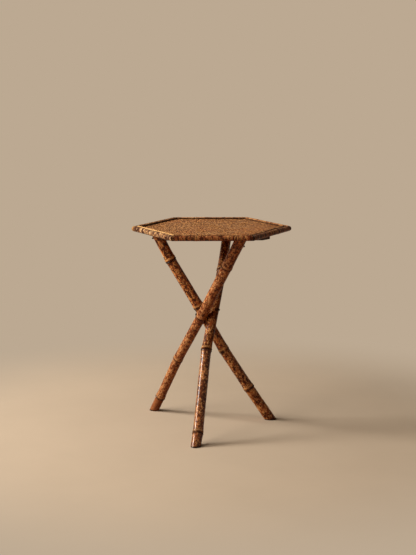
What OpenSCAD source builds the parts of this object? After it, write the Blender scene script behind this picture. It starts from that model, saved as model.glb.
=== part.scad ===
// Side table: a six-sided top covered in woven grass matting and edged with bamboo,
// on three bamboo poles that cross and touch halfway up.
// Millimetres. The floor is z = 0, the viewer stands on the -Y side.

/* [Top] */
// Height of the woven surface above the floor
surface_h = 604; // [570:1:660]
// Middle of the top to the outside of a corner
corner_r = 238.5; // [225:0.5:255]
// Thickness of the deal boards
board_t = 10; // [8:0.5:14]
// Width of the middle board
middle_board_w = 142; // [132:1:150]
// Thickness of the woven matting
mat_t = 1.4; // [1:0.1:2]
// Room between the edge of the matting and the bead
mat_gap = 0.25; // [0.1:0.05:0.5]

/* [Rim] */
// Diameter of the rim canes
rim_d = 16; // [14:0.5:20]
// Crown of the rim canes above the woven surface
rim_rise = 4.2; // [3:0.1:6]
// Axis of a rim cane to its planed inner side
rim_flat = 5.5; // [4.5:0.1:6.5]
// Glue line between the boards and the rim canes
rim_glue = 0.1; // [0.05:0.05:0.4]
// Diameter of the hollow in a rim cane
rim_bore_d = 6; // [3:0.5:8]
// Open joint between two mitred canes
mitre_gap = 0.8; // [0.3:0.1:2]
// How far a joint of a rim cane stands proud
rim_ring = 0.5; // [0.2:0.1:1]
// Length of the swelling at a joint of a rim cane
rim_ring_len = 9.6; // [6:0.2:14]

/* [Bead] */
// Width of the split-cane bead
bead_w = 8; // [6:0.5:10]
// Crown of the bead above the woven surface
bead_rise = 5.6; // [4.5:0.1:7]
// Open joint between two mitred beads
bead_mitre_gap = 0.4; // [0.2:0.1:1]

/* [Battens] */
// Thickness of the battens
batten_t = 15; // [10:0.5:22]
// Width of the battens
batten_w = 26.5; // [20:0.5:40]
// Middle of the top to the near side of each batten
batten_in = 61.5; // [45:0.5:80]
// Right end of the front batten
front_batten_right = 170.5; // [150:0.5:176]
// Left end of the front batten
front_batten_left = 158; // [140:0.5:176]
// Half the length of the back batten
back_batten_half = 166; // [140:0.5:176]
// Slant of the batten ends from straight across
batten_slant = 40; // [0:1:45]

/* [Poles] */
// Wall of the bamboo poles
pole_wall = 4.6; // [3.5:0.1:6]
// Thickness of the wall across a pole at each joint
septum_t = 4; // [2:0.5:6]
// Hole pierced through those walls to season the pole
septum_hole_d = 5; // [3:0.5:8]
// How far the joints of a pole stand proud
ring_rise = 1.7; // [0.8:0.1:2.5]
// Length of the swelling at a joint
ring_len = 13; // [9:0.5:18]
// Room between two poles where they touch
pole_gap = 0.3; // [0.1:0.1:0.6]

/* [Left pole] */
// Diameter at the foot
left_foot_d = 24.8; // [22:0.2:30]
// Diameter at the top
left_top_d = 32.4; // [28:0.2:36]
// Middle of the table to the foot
left_foot_out = 236; // [215:1:250]
// Bearing of the foot, in degrees from the right
left_foot_turn = 138.8; // [135:0.1:143]
// Middle of the table to the pole's top
left_top_out = 174; // [160:1:178]

/* [Front pole] */
// Diameter at the foot
front_foot_d = 29.4; // [26:0.2:34]
// Diameter at the top
front_top_d = 28; // [24:0.2:32]
// Middle of the table to the foot
front_foot_out = 246; // [225:1:260]
// Bearing of the foot, in degrees from the right
front_foot_turn = 258.1; // [255:0.1:262]
// Middle of the table to the pole's top
front_top_out = 178; // [160:1:180]
// Bearing of the pole's top, in degrees from the right
front_top_turn = 72; // [68:0.5:76]

/* [Right pole] */
// Diameter at the foot
right_foot_d = 30.4; // [27:0.2:34]
// Diameter at the top
right_top_d = 30; // [27:0.2:34]
// Middle of the table to the foot
right_foot_out = 188.5; // [175:0.5:205]
// Bearing of the foot, in degrees from the right
right_foot_turn = 14; // [10:0.5:18]
// Middle of the table to the pole's top
right_top_out = 165; // [155:1:172]

/* [Fasteners] */
// Diameter of the long nails
nail_d = 3.2; // [2.6:0.1:4]
// Diameter of the nail heads
nail_head_d = 6.4; // [5:0.1:8]
// Thickness of the nail heads
nail_head_t = 2; // [1.2:0.1:2.5]
// How far the nail heads stand off the pole
nail_proud = 2.4; // [0.5:0.1:4]
// Tip of a crossing nail to the far skin of the second pole
nail_tip_in = 2; // [1.5:0.1:3]
// Drop from the boards to the nails in the pole tops
top_nail_drop = 22; // [16:1:28]
// Skin of a pole to those nails where they enter the boards
top_nail_in = 7.4; // [6:0.2:9]
// Room round a nail, screw or brad in its hole
nail_fit = 0.1; // [0.02:0.01:0.1]
// Diameter of the batten screws
screw_d = 4; // [3:0.1:5]
// Diameter of the batten screw heads
screw_head_d = 7.6; // [6:0.1:9]
// Diameter of the brads
brad_d = 1.4; // [1:0.1:2]
// Diameter of the brad heads
brad_head_d = 2.8; // [2.2:0.1:3.6]
// Thickness of the brad heads
brad_head_t = 0.8; // [0.5:0.1:1.2]
// How far the brad heads stand proud
brad_proud = 0.3; // [0.1:0.05:0.6]
// Depth that nails, screws and brads reach into the boards
bite = 7; // [5:0.5:7.5]
// Joint of two boards to the batten screws on either side of it
screw_in = 24; // [14:1:30]
// End of a batten to its last screw
screw_end = 40; // [34:1:48]
// Corner of the top to the outer brads of a rim cane
rim_pin_end = 33; // [28:1:40]
// Middle of a rim cane to its inner brads
rim_pin_mid = 27; // [22:1:32]
// Mitre of a bead to its outer brads
bead_pin_end = 9; // [5:0.5:12]
// Middle of a bead to its inner brads
bead_pin_mid = 43; // [38:1:48]

/* [Hidden] */
$fn = 64;

cane_light = "goldenrod";
cane_brown = "peru";
straw = "burlywood";
deal = "tan";
iron = "dimgray";

// Poles are drawn this far past the floor and the boards, then cut level
pole_reach = 40;
// Room between a straight stretch of a pole and the middle of a joint, filled by the joint's ring
skin_stop = 0.5;
// Outline of the ring at a joint: shares of its length from the joint, and of its rise
ring_line = [[-0.4, 0.36], [-0.06, 1], [0.08, 1], [0.26, 0.6], [0.5, 0.36]];
// Flat crown and straight edge of a nail head, as shares of its width and thickness
head_crown = 0.56;
head_edge = 0.4;
// Length of the notch that a slanted nail's head makes in the skin
slant_cut = 16;
facet_turn = 38;
// Longer than anything that it cuts
beyond = corner_r * 2;

// Heights
board_top = surface_h - mat_t;
board_low = board_top - board_t;
rim_axis_h = surface_h + rim_rise - rim_d / 2;

// The hexagon: distances from its middle, square to a side
rim_out = corner_r * cos(30);
rim_axis = rim_out - rim_d / 2;
board_edge = rim_axis - rim_flat - rim_glue;
mat_edge = board_edge - bead_w - mat_gap;
side_half = corner_r / 2;
joint_x = middle_board_w / 2;

// Bearings of the six sides
side_front = 270;
side_front_right = 330;
side_back_right = 30;
side_back = 90;
side_back_left = 150;
side_front_left = 210;
all_sides = [side_front, side_front_right, side_back_right, side_back, side_back_left, side_front_left];

// Joints of each pole, in hundredths of its height: how high they are, and how far the pole is
// crooked to the right there
left_joints = [[8.4, -0.22], [31.72, -1.13], [56.36, -0.07], [84.37, 0.4]];
front_joints = [[5.4, -0.13], [41.26, -2.05], [77.5, -0.34]];
right_joints = [[17.21, -1.18], [37.86, -1.99], [59.74, -1.18], [85.39, -1.01]];

// Joints of the six rim canes, in the order of the sides: from the cane's middle, in hundredths of
// its half length
rim_joints = [[-44, 60], [32], [-54, 49], [8], [-37, 62], [-10]];

// A point at a distance and a bearing from the middle
function around(out, turn) = [out * cos(turn), out * sin(turn)];

// A pole: foot, top, joints, foot radius and top radius
function pole(foot, top, joints, foot_d, top_d) =
    [concat([[foot.x, foot.y, 0]],
            [for (j = joints) let (t = j[0] / 100)
                [foot.x + (top.x - foot.x) * t + j[1] / 100 * board_low, foot.y + (top.y - foot.y) * t,
                 board_low * t]],
            [[top.x, top.y, board_low]]),
     foot_d / 2, top_d / 2];
function pole_line(p) = p[0];
function pole_r(p, h) = p[1] + (p[2] - p[1]) * h / board_low;
function foot_of(p) = p[0][0];
function top_of(p) = p[0][len(p[0]) - 1];
function unit(v) = v / norm(v);

// Nearest points of two straight stretches a-b and c-d
function clamp01(v) = min(1, max(0, v));
function near_pair(a, b, c, d) =
    let (u = b - a, v = d - c, w = a - c,
         uu = u * u, uv = u * v, vv = v * v, uw = u * w, vw = v * w,
         s0 = clamp01((uv * vw - vv * uw) / (uu * vv - uv * uv)),
         t = clamp01((s0 * uv + vw) / vv),
         s = clamp01((t * uv - uw) / uu))
    [a + u * s, c + v * t];

// Nearest points of two poles, then the room between their skins, rings counted
function all_pairs(p, q) =
    let (a = pole_line(p), b = pole_line(q))
    [for (i = [1 : len(a) - 1]) for (j = [1 : len(b) - 1]) near_pair(a[i - 1], a[i], b[j - 1], b[j])];
function shortest(pairs) =
    let (gaps = [for (p = pairs) norm(p[1] - p[0])], least = min(gaps))
    [for (i = [0 : len(pairs) - 1]) if (gaps[i] == least) pairs[i]][0];
function touch_points(p, q) = shortest(all_pairs(p, q));
function inner_joints(p) = [for (i = [1 : len(pole_line(p)) - 2]) pole_line(p)[i]];
function to_line(pt, q) =
    let (b = pole_line(q))
    min([for (j = [1 : len(b) - 1])
        let (v = b[j] - b[j - 1], t = clamp01((pt - b[j - 1]) * v / (v * v)))
        norm(b[j - 1] + v * t - pt)]);
function ring_room(p, q) =
    min([for (j = inner_joints(p)) to_line(j, q) - pole_r(p, j.z) - pole_r(q, j.z) - ring_rise]);
function skin_room(p, q) =
    let (n = touch_points(p, q)) norm(n[1] - n[0]) - pole_r(p, n[0].z) - pole_r(q, n[1].z);
function in_order(p, q) =
    cross(top_of(p) - foot_of(p), top_of(q) - foot_of(q)) * (foot_of(p) - foot_of(q)) > 0;
function room(p, q) = in_order(p, q) ? min(skin_room(p, q), ring_room(p, q), ring_room(q, p)) : -beyond;

front_pole = pole(around(front_foot_out, front_foot_turn), around(front_top_out, front_top_turn),
                  front_joints, front_foot_d, front_top_d);
function left_pole_at(turn) =
    pole(around(left_foot_out, left_foot_turn), around(left_top_out, turn),
         left_joints, left_foot_d, left_top_d);
function right_pole_at(turn) =
    pole(around(right_foot_out, right_foot_turn), around(right_top_out, turn),
         right_joints, right_foot_d, right_top_d);

// The top of the left pole is turned about the middle of the table until the pole touches the front
// pole, then the right pole's until it touches the first of the other two
function least_room(p, others) = min([for (q = others) room(q, p)]);
function left_turn(lo, hi, n) =
    let (mid = (lo + hi) / 2)
    n == 0 ? mid
    : room(left_pole_at(mid), front_pole) > pole_gap ? left_turn(mid, hi, n - 1)
    : left_turn(lo, mid, n - 1);
left_pole = left_pole_at(left_turn(-85, -40, 24));
function right_turn(lo, hi, n) =
    let (mid = (lo + hi) / 2)
    n == 0 ? mid
    : least_room(right_pole_at(mid), [left_pole, front_pole]) > pole_gap ? right_turn(mid, hi, n - 1)
    : right_turn(lo, mid, n - 1);
right_pole = right_pole_at(right_turn(165, 205, 24));

// The whole table stands centred over its footprint
function run_of(p) = pole_line(p)[1] - foot_of(p);
function foot_half(p) = p[1] * sqrt(1 + pow(run_of(p).y / run_of(p).z, 2));
rim_most = rim_out + max(rim_ring, brad_proud);
y_most = max([rim_most, for (p = [left_pole, right_pole]) foot_of(p).y + foot_half(p)]);
y_least = min(-rim_most, foot_of(front_pole).y - foot_half(front_pole));
module stand() {
    translate([0, -(y_most + y_least) / 2, 0])
        children();
}

// Puts its children at a point, with their +Z along a direction, and turned a little about it so that
// no edge of a facet lies on the line of steepest slope
module along(at, d) {
    translate(at)
        rotate([0, acos(d.z / norm(d)), atan2(d.y, d.x)])
            rotate(facet_turn)
                children();
}

// A nail: where its shank leaves the head, its direction and the shank's length.
// At the crossing it runs through one pole and both walls of the next
function crossing_nail(p, q) =
    let (n = touch_points(p, q), d = unit(n[1] - n[0]), near = pole_r(p, n[0].z) + nail_proud)
    [n[0] - d * near, d, near + norm(n[1] - n[0]) + pole_r(q, n[1].z) - nail_tip_in];
crossing = [
    crossing_nail(left_pole, front_pole), crossing_nail(front_pole, right_pole),
    crossing_nail(right_pole, left_pole)
];

// In a pole's top it starts on the skin and runs up into the boards
function last_run(p) = let (l = pole_line(p)) l[len(l) - 1] - l[len(l) - 2];
function top_nail(p, turn) =
    let (run = last_run(p), out = [cos(turn), sin(turn), 0],
         at = top_of(p) - run * (top_nail_drop / run.z),
         start = at + out * (p[2] / norm(cross(out, unit(run)))),
         end = top_of(p) + out * (p[2] - top_nail_in),
         d = unit(end - start))
    [start - d * nail_proud, d, nail_proud + (top_nail_drop + bite) / d.z];
top_nail_list = [
    top_nail(left_pole, 0), top_nail(left_pole, 120),
    top_nail(front_pole, 45), top_nail(front_pole, 130),
    top_nail(right_pole, 180), top_nail(right_pole, 60)
];

module nail_shank(n, room) {
    sunk = nail_head_t / 2;
    along(n[0] - n[1] * sunk, n[1])
        cylinder(h = n[2] + sunk + room, d = nail_d + 2 * room);
}
// The hole of a nail that is driven in at a slant, with room for its head in the skin
module slant_hole(n) {
    nail_shank(n, nail_fit);
    along(n[0] - n[1] * slant_cut, n[1])
        cylinder(h = slant_cut + nail_fit, d = nail_head_d + 2 * nail_fit);
}
module nail_body(n) {
    nail_shank(n, 0);
    along(n[0] - n[1] * nail_head_t, n[1])
        rotate_extrude()
            polygon([
                [0, 0], [nail_head_d / 2 * head_crown, 0], [nail_head_d / 2, nail_head_t * (1 - head_edge)],
                [nail_head_d / 2, nail_head_t], [0, nail_head_t]
            ]);
}

// Bamboo poles. Each straight stretch stops just short of a joint, inside the solid ring there
module stretch(p, i, inset, stop) {
    pts = pole_line(p);
    last = len(pts) - 1;
    d = unit(pts[i] - pts[i - 1]);
    from = pts[i - 1] + d * (i == 1 ? -pole_reach : stop);
    to = pts[i] + d * (i == last ? pole_reach : -stop);
    along(from, d)
        cylinder(h = norm(to - from), r1 = pole_r(p, pts[i - 1].z) - inset, r2 = pole_r(p, pts[i].z) - inset);
}
module swelling(r, rise, length) {
    last = len(ring_line) - 1;
    rotate_extrude()
        polygon([
            [0, length * ring_line[0][0]],
            for (q = ring_line) [r + rise * q[1], length * q[0]],
            [0, length * ring_line[last][0]]
        ]);
}
module bamboo_pole(p) {
    pts = pole_line(p);
    last = len(pts) - 1;
    difference() {
        union() {
            for (i = [1 : last])
                stretch(p, i, 0, skin_stop);
            for (i = [1 : last - 1])
                along(pts[i], pts[i + 1] - pts[i - 1])
                    swelling(pole_r(p, pts[i].z), ring_rise, ring_len);
        }
        for (i = [1 : last])
            stretch(p, i, pole_wall, septum_t / 2);
        for (i = [1 : last - 1])
            along(pts[i], pts[i + 1] - pts[i - 1])
                cylinder(h = septum_t * 2, d = septum_hole_d, center = true);
        for (h = [-beyond, board_low])
            translate([-beyond, -beyond, h])
                cube([beyond * 2, beyond * 2, beyond]);
        for (n = crossing)
            nail_shank(n, nail_fit);
        for (n = top_nail_list)
            slant_hole(n);
    }
}

// One sixth of the top, its side at a bearing, drawn back so that two neighbours stand a gap apart
module sixth(turn, gap) {
    half = (beyond - gap) * tan(30);
    rotate([0, 0, turn])
        linear_extrude(surface_h + beyond)
            polygon([[gap, 0], [beyond, half], [beyond, -half]]);
}
module side_at(turn, out, h) {
    rotate([0, 0, turn])
        translate([out, 0, h])
            children();
}

// Brads point inward through a rim cane, and down through a bead
bead_half = (board_edge - bead_w / 2) * tan(30);
rim_pin_at = [for (k = [-1, 1]) each [k * (side_half - rim_pin_end), k * rim_pin_mid]];
bead_pin_at = [for (k = [-1, 1]) each [k * (bead_half - bead_pin_end), k * bead_pin_mid]];
module rim_brads(turn, room) {
    for (s = rim_pin_at)
        side_at(turn, rim_out + brad_proud, rim_axis_h)
            translate([0, s, 0])
                rotate([0, -90, 0])
                    brad(rim_out + brad_proud - board_edge + bite, room);
}
module bead_brads(turn, room) {
    for (s = bead_pin_at)
        side_at(turn, board_edge - bead_w / 2, surface_h + bead_rise + brad_proud)
            translate([0, s, 0])
                rotate([180, 0, 0])
                    brad(bead_rise + mat_t + brad_proud + bite, room);
}
module brad(length, room) {
    cylinder(h = length + room, d = brad_d + 2 * room);
    translate([0, 0, -room])
        cylinder(h = brad_head_t + 2 * room, d = brad_head_d + 2 * room);
}

module rim_cane(i) {
    turn = all_sides[i];
    difference() {
        intersection() {
            side_at(turn, rim_axis, rim_axis_h)
                difference() {
                    rotate([90, 0, 0]) {
                        cylinder(h = beyond, d = rim_d, center = true);
                        for (s = rim_joints[i])
                            translate([0, 0, s / 100 * side_half])
                                swelling(rim_d / 2, rim_ring, rim_ring_len);
                    }
                    rotate([90, 0, 0])
                        cylinder(h = beyond * 2, d = rim_bore_d, center = true);
                    translate([-rim_d - rim_flat, -beyond, -rim_d])
                        cube([rim_d, beyond * 2, rim_d * 2]);
                }
            sixth(turn, mitre_gap);
        }
        rim_brads(turn, nail_fit);
    }
}

module bead(i) {
    turn = all_sides[i];
    tall = bead_rise + mat_t;
    difference() {
        intersection() {
            side_at(turn, board_edge - bead_w / 2, board_top)
                rotate([90, 0, 0])
                    linear_extrude(beyond, center = true)
                        intersection() {
                            union() {
                                translate([0, tall - bead_w / 2])
                                    circle(d = bead_w);
                                translate([-bead_w / 2, 0])
                                    square([bead_w, tall - bead_w / 2]);
                            }
                            translate([-bead_w / 2, 0])
                                square([bead_w, tall]);
                        }
            sixth(turn, bead_mitre_gap);
        }
        bead_brads(turn, nail_fit);
    }
}

module hexagon(edge, h) {
    linear_extrude(h)
        polygon([for (a = [0 : 60 : 300]) around(edge / cos(30), a)]);
}

// A board between two distances to the right of the middle
module board(from, to) {
    difference() {
        intersection() {
            translate([0, 0, board_low])
                hexagon(board_edge, board_t);
            translate([from, -beyond, board_low])
                cube([to - from, beyond * 2, board_t]);
        }
        for (n = top_nail_list)
            nail_shank(n, nail_fit);
        for (turn = all_sides) {
            rim_brads(turn, nail_fit);
            bead_brads(turn, nail_fit);
        }
        all_screws(nail_fit);
    }
}

// Battens: the right and left ends on the side nearest the middle, and which side of the middle
module batten(right, left, way) {
    cut = batten_w * tan(batten_slant);
    difference() {
        translate([0, 0, board_low - batten_t])
            linear_extrude(batten_t)
                polygon([
                    [-left, way * batten_in], [right, way * batten_in],
                    [right - cut, way * (batten_in + batten_w)], [-left + cut, way * (batten_in + batten_w)]
                ]);
        all_screws(nail_fit);
    }
}
function screw_xs(right, left) = [
    -left + screw_end, -joint_x - screw_in, -joint_x + screw_in,
    joint_x - screw_in, joint_x + screw_in, right - screw_end
];
module all_screws(room) {
    for (x = screw_xs(front_batten_right, front_batten_left))
        translate([x, -batten_in - batten_w / 2, board_low - batten_t])
            screw(room);
    for (x = screw_xs(back_batten_half, back_batten_half))
        translate([x, batten_in + batten_w / 2, board_low - batten_t])
            screw(room);
}
module screw(room) {
    sink = (screw_head_d - screw_d) / 2;
    cylinder(h = batten_t + bite + room, d = screw_d + 2 * room);
    translate([0, 0, -room])
        cylinder(h = sink + room, d1 = screw_head_d + 2 * room, d2 = screw_d + 2 * room);
}

module board_left() {
    color(deal)
        stand()
            board(-corner_r, -joint_x);
}
module board_middle() {
    color(deal)
        stand()
            board(-joint_x, joint_x);
}
module board_right() {
    color(deal)
        stand()
            board(joint_x, corner_r);
}
module matting() {
    color(straw)
        stand()
            translate([0, 0, board_top])
                hexagon(mat_edge, mat_t);
}
module side_cane(i) {
    color(cane_brown)
        stand()
            rim_cane(i);
}
module side_bead(i) {
    color(cane_light)
        stand()
            bead(i);
}
module rim_front() { side_cane(0); }
module rim_front_right() { side_cane(1); }
module rim_back_right() { side_cane(2); }
module rim_back() { side_cane(3); }
module rim_back_left() { side_cane(4); }
module rim_front_left() { side_cane(5); }
module bead_front() { side_bead(0); }
module bead_front_right() { side_bead(1); }
module bead_back_right() { side_bead(2); }
module bead_back() { side_bead(3); }
module bead_back_left() { side_bead(4); }
module bead_front_left() { side_bead(5); }
module batten_front() {
    color(deal)
        stand()
            batten(front_batten_right, front_batten_left, -1);
}
module batten_back() {
    color(deal)
        stand()
            batten(back_batten_half, back_batten_half, 1);
}
module leg_left() {
    color(cane_brown)
        stand()
            bamboo_pole(left_pole);
}
module leg_front() {
    color(cane_brown)
        stand()
            bamboo_pole(front_pole);
}
module leg_right() {
    color(cane_brown)
        stand()
            bamboo_pole(right_pole);
}
module crossing_nails() {
    color(iron)
        stand()
            for (n = crossing)
                nail_body(n);
}
module top_nails() {
    color(iron)
        stand()
            for (n = top_nail_list)
                nail_body(n);
}
module batten_screws() {
    color(iron)
        stand()
            all_screws(0);
}
module rim_pins() {
    color(iron)
        stand()
            for (turn = all_sides)
                rim_brads(turn, 0);
}
module bead_pins() {
    color(iron)
        stand()
            for (turn = all_sides)
                bead_brads(turn, 0);
}

board_left();
board_middle();
board_right();
matting();
rim_front();
rim_front_right();
rim_back_right();
rim_back();
rim_back_left();
rim_front_left();
bead_front();
bead_front_right();
bead_back_right();
bead_back();
bead_back_left();
bead_front_left();
batten_front();
batten_back();
leg_left();
leg_front();
leg_right();
crossing_nails();
top_nails();
batten_screws();
rim_pins();
bead_pins();
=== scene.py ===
import math
import random

import bpy
import numpy as np
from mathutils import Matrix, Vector


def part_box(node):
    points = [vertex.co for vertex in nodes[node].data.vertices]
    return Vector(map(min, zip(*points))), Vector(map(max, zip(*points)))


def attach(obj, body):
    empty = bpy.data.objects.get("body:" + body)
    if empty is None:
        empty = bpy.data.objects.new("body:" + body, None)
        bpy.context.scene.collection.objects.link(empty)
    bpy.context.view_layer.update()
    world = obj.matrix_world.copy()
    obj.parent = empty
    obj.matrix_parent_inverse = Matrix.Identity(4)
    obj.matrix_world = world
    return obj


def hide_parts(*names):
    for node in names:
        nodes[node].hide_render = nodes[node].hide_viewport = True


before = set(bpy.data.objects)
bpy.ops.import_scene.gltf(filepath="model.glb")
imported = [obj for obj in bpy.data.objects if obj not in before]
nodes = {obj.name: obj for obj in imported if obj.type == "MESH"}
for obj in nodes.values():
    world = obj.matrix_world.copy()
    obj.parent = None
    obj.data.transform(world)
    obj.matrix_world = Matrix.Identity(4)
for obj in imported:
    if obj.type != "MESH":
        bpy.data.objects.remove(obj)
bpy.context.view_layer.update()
print("frame loaded,", len(nodes), "nodes")

# the middle of the top isn't the origin: the feet stand a little in front of it
mattingLow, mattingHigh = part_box("matting")
middle = Vector(((mattingLow.x + mattingHigh.x) / 2, (mattingLow.y + mattingHigh.y) / 2, 0.0))
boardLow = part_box("board_middle")[0].z
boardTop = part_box("board_middle")[1].z
# the top has six sides: a mitre's slant, and how far its flats stand out for a corner at 1
slant = math.tan(math.radians(30))
flatShare = math.cos(math.radians(30))
# the way each side of the top faces, in degrees from +X
sideTurns = {"front": 270, "front_right": 330, "back_right": 30,
             "back": 90, "back_left": 150, "front_left": 210}


def tone(red, green, blue):
    # a colour as a screen shows it, 0 to 255, as Blender wants it
    def linear(c):
        c = c / 255
        return c / 12.92 if c <= 0.04045 else ((c + 0.055) / 1.055) ** 2.4
    return (linear(red), linear(green), linear(blue), 1.0)


# small helpers for shader nodes

def feedAll(node, values):
    # each value is a link from another socket, a setting, or None to leave the socket as it is
    for label, value in values.items():
        if isinstance(value, bpy.types.NodeSocket):
            node.id_data.links.new(value, node.inputs[label])
        elif value is not None:
            node.inputs[label].default_value = value


def addNode(kind, values=None, tree=None, **settings):
    # the node goes into the tree of the sockets that feed it, unless a tree is given
    if tree is None:
        tree = next(v.id_data for v in values.values() if isinstance(v, bpy.types.NodeSocket))
    node = tree.nodes.new("ShaderNode" + kind)
    for label, value in settings.items():
        setattr(node, label, value)
    feedAll(node, values or {})
    return node.outputs


def calc(operation, *values, clamp=False):
    return addNode("Math", dict(enumerate(values)), operation=operation, use_clamp=clamp)[0]


def times(first, second, clamp=False):
    return calc("MULTIPLY", first, second, clamp=clamp)


def plus(first, second, clamp=False):
    return calc("ADD", first, second, clamp=clamp)


def minus(first, second):
    return calc("SUBTRACT", first, second)


def vectorCalc(operation, first, second=None, scale=None):
    made = addNode("VectorMath", {0: first, 1: second, "Scale": scale}, operation=operation)
    return made["Value" if operation == "LENGTH" else "Vector"]


def noise(place, scale, detail=2.0, rough=0.5, warp=0.0, want="Fac"):
    return addNode("TexNoise", {"Vector": place, "Scale": scale, "Detail": detail, "Roughness": rough,
                                "Distortion": warp})[want]


def cells(place, scale):
    return addNode("TexVoronoi", {"Vector": place, "Scale": scale})["Distance"]


def between(value, low, high, toLow=0.0, toHigh=1.0):
    # 0 below the first number and 1 above the second, or the other way round if the first is larger
    values = {"Value": value, "From Min": low, "From Max": high, "To Min": toLow, "To Max": toHigh}
    return addNode("MapRange", values, interpolation_type="SMOOTHSTEP")["Result"]


def mixValue(factor, first, second):
    return addNode("Mix", {0: factor, 2: first, 3: second})[0]


def mixColour(factor, first, second):
    return addNode("Mix", {0: factor, 6: first, 7: second}, data_type="RGBA")[2]


def mixShader(factor, first, second):
    return addNode("MixShader", {0: factor, 1: first, 2: second})[0]


def paint(colour, *coats):
    # coats over one another: where, which colour, and how much of it at most
    for where, over, *most in coats:
        colour = mixColour(times(where, *most) if most else where, colour, over)
    return colour


def attribute(tree, name, want="Vector"):
    return addNode("Attribute", tree=tree, attribute_name=name)[want]


def number(tree, name):
    return attribute(tree, name, "Fac")


def split(vector):
    return addNode("SeparateXYZ", {0: vector})


def combine(*parts):
    # each part is a value, or a value and what it is multiplied by
    values = [times(*part) if isinstance(part, tuple) else part for part in parts]
    return addNode("CombineXYZ", dict(enumerate(values)))[0]


def startGroup(name, numbers, colours, outputs):
    # besides a place, a group takes numbers and colours, which have the names they have in the looks
    group = bpy.data.node_groups.new(name, "ShaderNodeTree")
    inputs = {"place": "Vector", **dict.fromkeys(numbers, "Float"), **dict.fromkeys(colours, "Color")}
    for way, sockets in (("INPUT", inputs), ("OUTPUT", outputs)):
        for label, kind in sockets.items():
            group.interface.new_socket(label, in_out=way, socket_type="NodeSocket" + kind)
    return group, group.nodes.new("NodeGroupInput").outputs, group.nodes.new("NodeGroupOutput")


def useGroup(group, place, look, **more):
    given = {**look, "place": place, **more}
    asked = [socket.name for socket in group.interface.items_tree if socket.in_out == "INPUT"]
    return addNode("Group", {label: given.get(label) for label in asked}, node_tree=group)


def findNode(tree, kind):
    return next(n for n in tree.nodes if n.type == kind)


def startMaterial(name):
    material = bpy.data.materials.new(name)
    material.use_nodes = True
    return material, material.node_tree, findNode(material.node_tree, "BSDF_PRINCIPLED")


def bumps(*layers):
    # reliefs over one another: height, distance and strength
    normal = None
    for height, distance, strength in layers:
        normal = addNode("Bump", {"Height": height, "Distance": distance, "Strength": strength,
                                  "Normal": normal})["Normal"]
    return normal


# shader groups that several materials share

def makeBurntMottle():
    # scorched "tortoiseshell" bamboo: brown scorching over tan, with curly golden flecks left in it
    tree, given, out = startGroup("burntMottle", ("blotch", "aroundStretch", "burn", "curls"),
                                  ("gold", "tan", "brown", "char"), {"Color": "Color", "Height": "Float"})
    x, y, z = split(given["place"])
    around = calc("DIVIDE", 1.0, given["aroundStretch"])
    flat = combine((x, around), (y, around), z)
    place = vectorCalc("SCALE", flat, scale=calc("DIVIDE", 1.0, given["blotch"]))
    drift = noise(place, 0.9, 2.0, want="Color")
    drift = vectorCalc("SCALE", vectorCalc("SUBTRACT", drift, (0.5, 0.5, 0.5)), scale=1.3)
    warped = vectorCalc("ADD", place, drift)
    blotches = noise(warped, 0.8, 3.0, 0.6)
    fields = noise(place, 0.13, 2.0)
    level = plus(blotches, times(minus(fields, 0.5), 0.3))
    level = minus(level, times(minus(given["burn"], 0.5), 0.4))
    # a curl is where a second, swirled noise crosses its middle, broken into short lengths by a third
    swirl = noise(warped, 1.15, 1.5, 0.5, 0.9)
    line = between(calc("ABSOLUTE", minus(swirl, 0.5)), 0.085, 0.02)
    short = between(noise(place, 0.9, 2.0), 0.43, 0.56)
    dots = between(cells(warped, 1.25), 0.36, 0.16)
    curls = calc("MAXIMUM", times(line, short), times(dots, 0.75))
    curls = times(curls, given["curls"], clamp=True)
    specks = between(noise(place, 4.4, 3.0, 0.65), 0.57, 0.69)
    colour = paint(given["tan"],
                   (between(level, 0.58, 0.7), given["gold"]),
                   (between(level, 0.56, 0.46), given["brown"]),
                   (curls, given["gold"]),
                   (specks, given["brown"], 0.55),
                   (between(level, 0.45, 0.36), given["char"]))
    feedAll(out, {"Color": colour, "Height": blotches})
    return tree


def makeFibres():
    # long fibres that run up the stem
    tree, given, out = startGroup("fibres", ("fibre", "fibreLength"), (),
                                  {"Streak": "Float", "Height": "Float"})
    x, y, z = split(given["place"])
    x, y = calc("DIVIDE", x, given["fibre"]), calc("DIVIDE", y, given["fibre"])
    place = combine(x, y, calc("DIVIDE", z, given["fibreLength"]))
    streak = noise(place, 1.0, 3.0, 0.6)
    fine = noise(place, 3.1, 2.0, 0.5)
    feedAll(out, {"Streak": streak, "Height": plus(streak, times(fine, 0.4))})
    return tree


def makeJointMarks():
    # the dark scar line at a joint, the soot round it and the paler band on the swelling, which is partly a
    # painted highlight
    tree, given, out = startGroup("jointMarks", ("fromJoint", "jointDark", "jointLine", "soot"), (),
                                  {"Line": "Float", "Soot": "Float", "PaleAndHighlight": "Float"})
    ragged = noise(given["place"], 260.0, 2.0)
    away = plus(given["fromJoint"], times(minus(ragged, 0.5), 0.0022))
    size = calc("ABSOLUTE", away)
    line = between(size, given["jointLine"], times(given["jointLine"], 0.4))
    strength = plus(times(given["jointDark"], 0.6), 0.4)
    # the paler band on the swelling: partly the node's own colour, partly a painted highlight
    pale = calc("ABSOLUTE", minus(away, 0.0075))
    feedAll(out, {"Line": times(line, strength),
                  "Soot": times(between(size, given["soot"], 0.0), given["jointDark"]),
                  "PaleAndHighlight": between(pale, 0.0045, 0.001)})
    return tree


def makeVarnish():
    # how rough the varnish is: smears, fine dust and dull worn patches
    tree, given, out = startGroup("varnish", ("smooth", "dull", "wear"), (),
                                  {"Roughness": "Float", "Height": "Float"})
    smear = noise(given["place"], 34.0, 3.0, 0.55)
    specks = between(noise(given["place"], 900.0, 1.0), 0.62, 0.75)
    amount = plus(between(smear, 0.42, 0.7), times(specks, 0.25))
    amount = plus(amount, given["wear"], clamp=True)
    feedAll(out, {"Roughness": mixValue(amount, given["smooth"], given["dull"]),
                  "Height": noise(given["place"], 120.0, 2.0, 0.5)})
    return tree


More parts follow.
